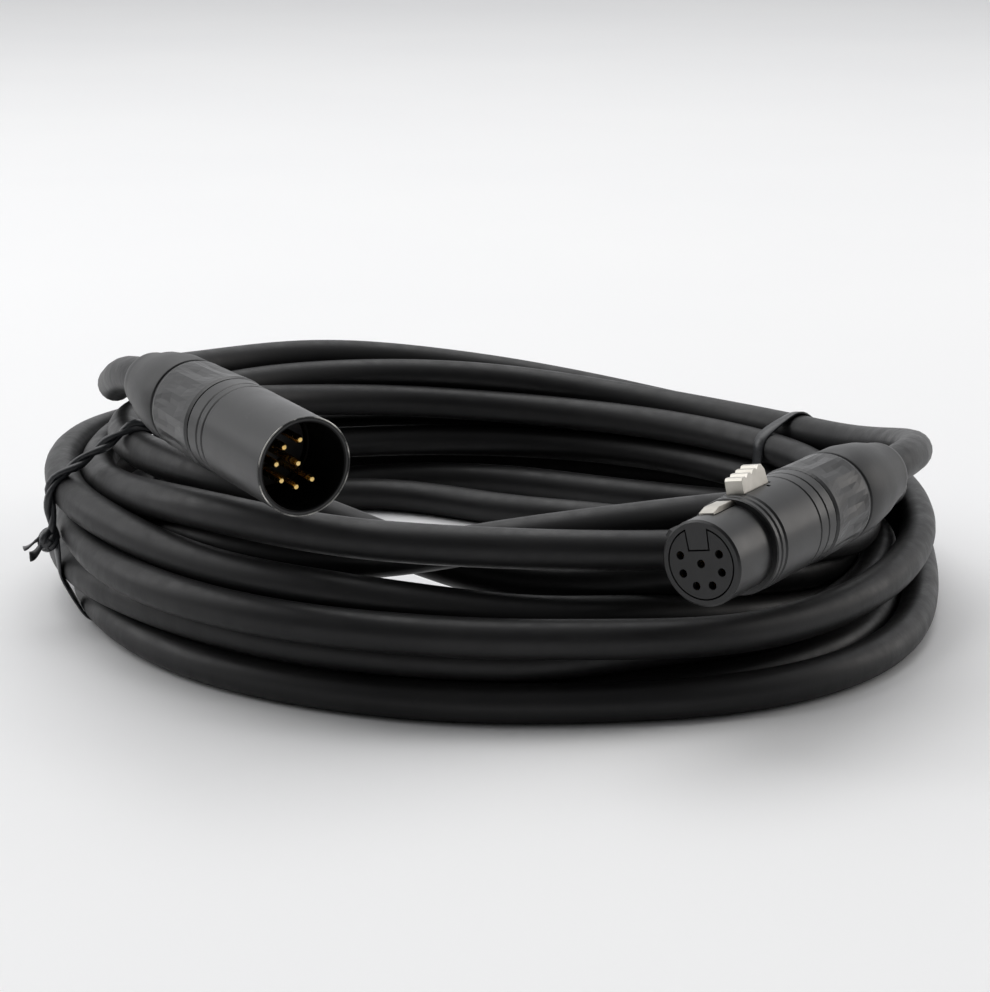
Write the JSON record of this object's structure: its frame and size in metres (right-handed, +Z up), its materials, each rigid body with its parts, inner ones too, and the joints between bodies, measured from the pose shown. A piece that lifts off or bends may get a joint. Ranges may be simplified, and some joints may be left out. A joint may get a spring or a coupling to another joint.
{
  "type": "coiled xlr cable",
  "caption": "Coiled black microphone-style cable, tied in two places, with a male multi-pin plug at one end and a latching female plug at the other.",
  "frame": {"origin": "centre of the bounding box on the resting plane, z = 0", "axes": "+Z up with the coil lying flat, +Y from the plugs' mouths towards the back of the coil, +X to the right as seen from the mouths"},
  "size_m": [0.2042, 0.2172, 0.0662],
  "materials": {
    "cable_jacket": "matte black PVC",
    "tie_ribbon": "black flat tie ribbon",
    "black_housing": "satin black",
    "boot_rubber": "matte black",
    "black_insert": "matte black",
    "chuck_plastic": "matte",
    "gold_contact": "gold plated",
    "satin_nickel": "satin nickel",
    "wire_insulation": "coloured insulation"
  },
  "bodies": {
    "cable": {"coil": "cable_jacket", "male_lead": "cable_jacket", "female_lead": "cable_jacket", "left_tie": "tie_ribbon", "right_tie": "tie_ribbon", "male_shell": "black_housing", "male_insert": "black_insert", "male_pin_1": "gold_contact", "male_pin_2": "gold_contact", "male_pin_3": "gold_contact", "male_pin_4": "gold_contact", "male_pin_5": "gold_contact", "male_pin_6": "gold_contact", "male_pin_7": "gold_contact", "male_wire_1": "wire_insulation", "male_wire_2": "wire_insulation", "male_wire_3": "wire_insulation", "male_wire_4": "wire_insulation", "male_wire_5": "wire_insulation", "male_wire_6": "wire_insulation", "male_wire_7": "wire_insulation", "male_chuck": "chuck_plastic", "female_shell": "black_housing", "female_insert": "black_insert", "female_contact_1": "gold_contact", "female_contact_2": "gold_contact", "female_contact_3": "gold_contact", "female_contact_4": "gold_contact", "female_contact_5": "gold_contact", "female_contact_6": "gold_contact", "female_contact_7": "gold_contact", "female_wire_1": "wire_insulation", "female_wire_2": "wire_insulation", "female_wire_3": "wire_insulation", "female_wire_4": "wire_insulation", "female_wire_5": "wire_insulation", "female_wire_6": "wire_insulation", "female_wire_7": "wire_insulation", "female_chuck": "chuck_plastic", "latch_pin": "satin_nickel", "latch_spring": "satin_nickel"},
    "latch": {"latch_lever": "satin_nickel"},
    "male_collar": {"male_bushing": "black_housing", "male_boot": "boot_rubber"},
    "female_collar": {"female_bushing": "black_housing", "female_boot": "boot_rubber"}
  },
  "joints": [
    {"name": "latch_press", "type": "hinge", "parent": "cable", "child": "latch", "pos_m": [0.05387, -0.08413, 0.04636], "axis": [0.8034, -0.5641, 0.1908], "range_deg": [0, 3.5], "stiffness_Nm_per_rad": 0.05, "springref_deg": -5.73},
    {"name": "male_collar_turn", "type": "hinge", "parent": "cable", "child": "male_collar", "pos_m": [-0.05108, -0.06623, 0.0565], "axis": [0.5234, -0.8507, -0.0489], "continuous": true},
    {"name": "female_collar_turn", "type": "hinge", "parent": "cable", "child": "female_collar", "pos_m": [0.06646, -0.06889, 0.03839], "axis": [-0.5705, -0.8209, -0.0244], "continuous": true}
  ]
}
